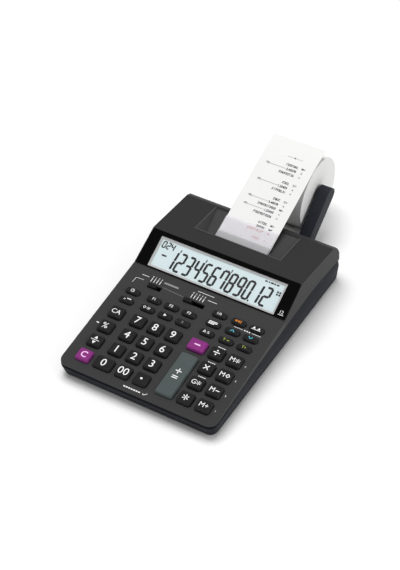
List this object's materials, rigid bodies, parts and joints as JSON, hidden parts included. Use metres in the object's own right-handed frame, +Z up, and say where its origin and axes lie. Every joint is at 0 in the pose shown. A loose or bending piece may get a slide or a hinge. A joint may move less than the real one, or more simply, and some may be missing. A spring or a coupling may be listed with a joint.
{
  "type": "printing desk calculator",
  "caption": "Printing desk calculator with a sloped keypad, tilted display, paper chute in the rear hump and folding arms that carry the paper roll.",
  "frame": {"origin": "middle of the footprint of the whole object, paper roll included, on the table", "axes": "+X to the user's right, +Y away from the user towards the paper roll, +Z up"},
  "size_m": [0.165, 0.341, 0.0924],
  "materials": {
    "upper_case": "fine grained satin, charcoal",
    "lower_case": "satin, blue-black",
    "key_dark": "satin, near black with white legends",
    "key_purple": "satin, purple",
    "key_grey": "satin, grey-green",
    "display_window": "polished, black border round a clear window",
    "lcd": "pale blue-green reflective liquid crystal",
    "circuit_board": "solder mask green",
    "printer_steel": "zinc plated sheet",
    "platen_rubber": "ground rubber",
    "ink_felt": "inked foam",
    "clear_plastic": "clear, frosted along its lower edge",
    "paper": "plain bond",
    "arm_plastic": "satin, blue-black"
  },
  "bodies": {
    "case": {"lower_case": "lower_case", "upper_case": "upper_case", "display_window": "display_window", "lcd_panel": "lcd", "circuit_board": "circuit_board", "printer_frame": "printer_steel", "printer_cover": "upper_case", "paper_strip": "paper"},
    "roll_arm_left": {"roll_arm_left": "arm_plastic"},
    "roll_arm_right": {"roll_arm_right": "arm_plastic"},
    "paper_roll": {"paper_roll": "paper"},
    "platen_roller": {"platen_roller": "platen_rubber"},
    "ink_roller": {"ink_roller": "ink_felt"},
    "tear_cover": {"tear_cover": "clear_plastic"},
    "battery_door": {"battery_door": "lower_case"},
    "mode_switch_knob": {"mode_switch_knob": "key_dark"},
    "decimal_switch_knob": {"decimal_switch_knob": "key_dark"},
    "key_clear": {"key_clear": "key_purple"},
    "key_0": {"key_0": "key_dark"},
    "key_00": {"key_00": "key_dark"},
    "key_point": {"key_point": "key_dark"},
    "key_total": {"key_total": "key_dark"},
    "key_memory_plus": {"key_memory_plus": "key_dark"},
    "key_markup": {"key_markup": "key_dark"},
    "key_1": {"key_1": "key_dark"},
    "key_2": {"key_2": "key_dark"},
    "key_3": {"key_3": "key_dark"},
    "key_grand_total": {"key_grand_total": "key_dark"},
    "key_memory_minus": {"key_memory_minus": "key_dark"},
    "key_percent": {"key_percent": "key_dark"},
    "key_4": {"key_4": "key_dark"},
    "key_5": {"key_5": "key_dark"},
    "key_6": {"key_6": "key_dark"},
    "key_multiply": {"key_multiply": "key_dark"},
    "key_memory_subtotal": {"key_memory_subtotal": "key_dark"},
    "key_clear_all": {"key_clear_all": "key_dark"},
    "key_7": {"key_7": "key_dark"},
    "key_8": {"key_8": "key_dark"},
    "key_9": {"key_9": "key_dark"},
    "key_minus": {"key_minus": "key_purple"},
    "key_divide": {"key_divide": "key_dark"},
    "key_memory_total": {"key_memory_total": "key_dark"},
    "key_plus_equals": {"key_plus_equals": "key_grey"},
    "key_item_count": {"key_item_count": "key_dark"},
    "key_subtotal": {"key_subtotal": "key_dark"},
    "key_shift_right": {"key_shift_right": "key_dark"},
    "key_percent_change": {"key_percent_change": "key_dark"},
    "key_delta_percent": {"key_delta_percent": "key_dark"},
    "key_tax_minus": {"key_tax_minus": "key_dark"},
    "key_tax_plus": {"key_tax_plus": "key_dark"},
    "key_clock": {"key_clock": "key_dark"},
    "key_cost": {"key_cost": "key_dark"},
    "key_sell": {"key_sell": "key_dark"},
    "key_margin": {"key_margin": "key_dark"},
    "key_direct_print": {"key_direct_print": "key_dark"},
    "key_review_up": {"key_review_up": "key_dark"},
    "key_review_down": {"key_review_down": "key_dark"},
    "key_print_on": {"key_print_on": "key_dark"},
    "key_reprint": {"key_reprint": "key_dark"},
    "key_paper_feed": {"key_paper_feed": "key_dark"}
  },
  "joints": [
    {"name": "roll_arm_left_fold", "type": "hinge", "parent": "case", "child": "roll_arm_left", "pos_m": [-0.036, 0.088, 0.0175], "axis": [1, 0, 0], "range_deg": [-9, 0]},
    {"name": "roll_arm_right_fold", "type": "hinge", "parent": "case", "child": "roll_arm_right", "pos_m": [0.036, 0.088, 0.0175], "axis": [1, 0, 0], "range_deg": [-9, 0]},
    {"name": "paper_roll_spin", "type": "hinge", "parent": "roll_arm_left", "child": "paper_roll", "pos_m": [0, 0.1325, 0.047], "axis": [1, 0, 0], "continuous": true},
    {"name": "tear_cover_lift", "type": "hinge", "parent": "case", "child": "tear_cover", "pos_m": [0, 0.02525, 0.0464], "axis": [1, 0, 0], "range_deg": [0, 60]},
    {"name": "battery_door_slide", "type": "slide", "parent": "case", "child": "battery_door", "axis": [0, 1, 0], "range_m": [0, 0.03]},
    {"name": "mode_switch_slide", "type": "slide", "parent": "case", "child": "mode_switch_knob", "axis": [1, 0, 0], "range_m": [0, 0.0046]},
    {"name": "decimal_switch_slide", "type": "slide", "parent": "case", "child": "decimal_switch_knob", "axis": [1, 0, 0], "range_m": [0, 0.0126]},
    {"name": "platen_spin", "type": "hinge", "parent": "case", "child": "platen_roller", "pos_m": [0, 0.0295, 0.0315], "axis": [1, 0, 0], "continuous": true},
    {"name": "ink_roller_spin", "type": "hinge", "parent": "case", "child": "ink_roller", "pos_m": [0, 0.0145, 0.0315], "axis": [1, 0, 0], "continuous": true},
    {"name": "key_clear_press", "type": "slide", "parent": "case", "child": "key_clear", "axis": [0, 0.1435, -0.9897], "range_m": [0, 0.002], "stiffness_N_per_m": 300},
    {"name": "key_0_press", "type": "slide", "parent": "case", "child": "key_0", "axis": [0, 0.1435, -0.9897], "range_m": [0, 0.002], "stiffness_N_per_m": 300},
    {"name": "key_00_press", "type": "slide", "parent": "case", "child": "key_00", "axis": [0, 0.1435, -0.9897], "range_m": [0, 0.002], "stiffness_N_per_m": 300},
    {"name": "key_point_press", "type": "slide", "parent": "case", "child": "key_point", "axis": [0, 0.1435, -0.9897], "range_m": [0, 0.002], "stiffness_N_per_m": 300},
    {"name": "key_total_press", "type": "slide", "parent": "case", "child": "key_total", "axis": [0, 0.1435, -0.9897], "range_m": [0, 0.002], "stiffness_N_per_m": 300},
    {"name": "key_memory_plus_press", "type": "slide", "parent": "case", "child": "key_memory_plus", "axis": [0, 0.1435, -0.9897], "range_m": [0, 0.002], "stiffness_N_per_m": 300},
    {"name": "key_markup_press", "type": "slide", "parent": "case", "child": "key_markup", "axis": [0, 0.1435, -0.9897], "range_m": [0, 0.002], "stiffness_N_per_m": 300},
    {"name": "key_1_press", "type": "slide", "parent": "case", "child": "key_1", "axis": [0, 0.1435, -0.9897], "range_m": [0, 0.002], "stiffness_N_per_m": 300},
    {"name": "key_2_press", "type": "slide", "parent": "case", "child": "key_2", "axis": [0, 0.1435, -0.9897], "range_m": [0, 0.002], "stiffness_N_per_m": 300},
    {"name": "key_3_press", "type": "slide", "parent": "case", "child": "key_3", "axis": [0, 0.1435, -0.9897], "range_m": [0, 0.002], "stiffness_N_per_m": 300},
    {"name": "key_grand_total_press", "type": "slide", "parent": "case", "child": "key_grand_total", "axis": [0, 0.1435, -0.9897], "range_m": [0, 0.002], "stiffness_N_per_m": 300},
    {"name": "key_memory_minus_press", "type": "slide", "parent": "case", "child": "key_memory_minus", "axis": [0, 0.1435, -0.9897], "range_m": [0, 0.002], "stiffness_N_per_m": 300},
    {"name": "key_percent_press", "type": "slide", "parent": "case", "child": "key_percent", "axis": [0, 0.1435, -0.9897], "range_m": [0, 0.002], "stiffness_N_per_m": 300},
    {"name": "key_4_press", "type": "slide", "parent": "case", "child": "key_4", "axis": [0, 0.1435, -0.9897], "range_m": [0, 0.002], "stiffness_N_per_m": 300},
    {"name": "key_5_press", "type": "slide", "parent": "case", "child": "key_5", "axis": [0, 0.1435, -0.9897], "range_m": [0, 0.002], "stiffness_N_per_m": 300},
    {"name": "key_6_press", "type": "slide", "parent": "case", "child": "key_6", "axis": [0, 0.1435, -0.9897], "range_m": [0, 0.002], "stiffness_N_per_m": 300},
    {"name": "key_multiply_press", "type": "slide", "parent": "case", "child": "key_multiply", "axis": [0, 0.1435, -0.9897], "range_m": [0, 0.002], "stiffness_N_per_m": 300},
    {"name": "key_memory_subtotal_press", "type": "slide", "parent": "case", "child": "key_memory_subtotal", "axis": [0, 0.1435, -0.9897], "range_m": [0, 0.002], "stiffness_N_per_m": 300},
    {"name": "key_clear_all_press", "type": "slide", "parent": "case", "child": "key_clear_all", "axis": [0, 0.1435, -0.9897], "range_m": [0, 0.002], "stiffness_N_per_m": 300},
    {"name": "key_7_press", "type": "slide", "parent": "case", "child": "key_7", "axis": [0, 0.1435, -0.9897], "range_m": [0, 0.002], "stiffness_N_per_m": 300},
    {"name": "key_8_press", "type": "slide", "parent": "case", "child": "key_8", "axis": [0, 0.1435, -0.9897], "range_m": [0, 0.002], "stiffness_N_per_m": 300},
    {"name": "key_9_press", "type": "slide", "parent": "case", "child": "key_9", "axis": [0, 0.1435, -0.9897], "range_m": [0, 0.002], "stiffness_N_per_m": 300},
    {"name": "key_minus_press", "type": "slide", "parent": "case", "child": "key_minus", "axis": [0, 0.1435, -0.9897], "range_m": [0, 0.002], "stiffness_N_per_m": 300},
    {"name": "key_divide_press", "type": "slide", "parent": "case", "child": "key_divide", "axis": [0, 0.1435, -0.9897], "range_m": [0, 0.002], "stiffness_N_per_m": 300},
    {"name": "key_memory_total_press", "type": "slide", "parent": "case", "child": "key_memory_total", "axis": [0, 0.1435, -0.9897], "range_m": [0, 0.002], "stiffness_N_per_m": 300},
    {"name": "key_plus_equals_press", "type": "slide", "parent": "case", "child": "key_plus_equals", "axis": [0, 0.1435, -0.9897], "range_m": [0, 0.002], "stiffness_N_per_m": 300},
    {"name": "key_item_count_press", "type": "slide", "parent": "case", "child": "key_item_count", "axis": [0, 0.1435, -0.9897], "range_m": [0, 0.002], "stiffness_N_per_m": 300},
    {"name": "key_subtotal_press", "type": "slide", "parent": "case", "child": "key_subtotal", "axis": [0, 0.1435, -0.9897], "range_m": [0, 0.002], "stiffness_N_per_m": 300},
    {"name": "key_shift_right_press", "type": "slide", "parent": "case", "child": "key_shift_right", "axis": [0, 0.1435, -0.9897], "range_m": [0, 0.002], "stiffness_N_per_m": 300},
    {"name": "key_percent_change_press", "type": "slide", "parent": "case", "child": "key_percent_change", "axis": [0, 0.1435, -0.9897], "range_m": [0, 0.002], "stiffness_N_per_m": 300},
    {"name": "key_delta_percent_press", "type": "slide", "parent": "case", "child": "key_delta_percent", "axis": [0, 0.1435, -0.9897], "range_m": [0, 0.002], "stiffness_N_per_m": 300},
    {"name": "key_tax_minus_press", "type": "slide", "parent": "case", "child": "key_tax_minus", "axis": [0, 0.1435, -0.9897], "range_m": [0, 0.002], "stiffness_N_per_m": 300},
    {"name": "key_tax_plus_press", "type": "slide", "parent": "case", "child": "key_tax_plus", "axis": [0, 0.1435, -0.9897], "range_m": [0, 0.002], "stiffness_N_per_m": 300},
    {"name": "key_clock_press", "type": "slide", "parent": "case", "child": "key_clock", "axis": [0, 0.1435, -0.9897], "range_m": [0, 0.002], "stiffness_N_per_m": 300},
    {"name": "key_cost_press", "type": "slide", "parent": "case", "child": "key_cost", "axis": [0, 0.1435, -0.9897], "range_m": [0, 0.002], "stiffness_N_per_m": 300},
    {"name": "key_sell_press", "type": "slide", "parent": "case", "child": "key_sell", "axis": [0, 0.1435, -0.9897], "range_m": [0, 0.002], "stiffness_N_per_m": 300},
    {"name": "key_margin_press", "type": "slide", "parent": "case", "child": "key_margin", "axis": [0, 0.1435, -0.9897], "range_m": [0, 0.002], "stiffness_N_per_m": 300},
    {"name": "key_direct_print_press", "type": "slide", "parent": "case", "child": "key_direct_print", "axis": [0, 0.1435, -0.9897], "range_m": [0, 0.002], "stiffness_N_per_m": 300},
    {"name": "key_review_up_press", "type": "slide", "parent": "case", "child": "key_review_up", "axis": [0, 0.1435, -0.9897], "range_m": [0, 0.002], "stiffness_N_per_m": 300},
    {"name": "key_review_down_press", "type": "slide", "parent": "case", "child": "key_review_down", "axis": [0, 0.1435, -0.9897], "range_m": [0, 0.002], "stiffness_N_per_m": 300},
    {"name": "key_print_on_press", "type": "slide", "parent": "case", "child": "key_print_on", "axis": [0, 0.1435, -0.9897], "range_m": [0, 0.002], "stiffness_N_per_m": 300},
    {"name": "key_reprint_press", "type": "slide", "parent": "case", "child": "key_reprint", "axis": [0, 0.1435, -0.9897], "range_m": [0, 0.002], "stiffness_N_per_m": 300},
    {"name": "key_paper_feed_press", "type": "slide", "parent": "case", "child": "key_paper_feed", "axis": [0, 0.1435, -0.9897], "range_m": [0, 0.002], "stiffness_N_per_m": 300}
  ],
  "couplings": [
    {"joint": "roll_arm_right_fold", "follows": "roll_arm_left_fold", "ratio": 1},
    {"joint": "platen_spin", "follows": "paper_roll_spin", "ratio": 5.8462},
    {"joint": "ink_roller_spin", "follows": "paper_roll_spin", "ratio": -6.9091}
  ]
}
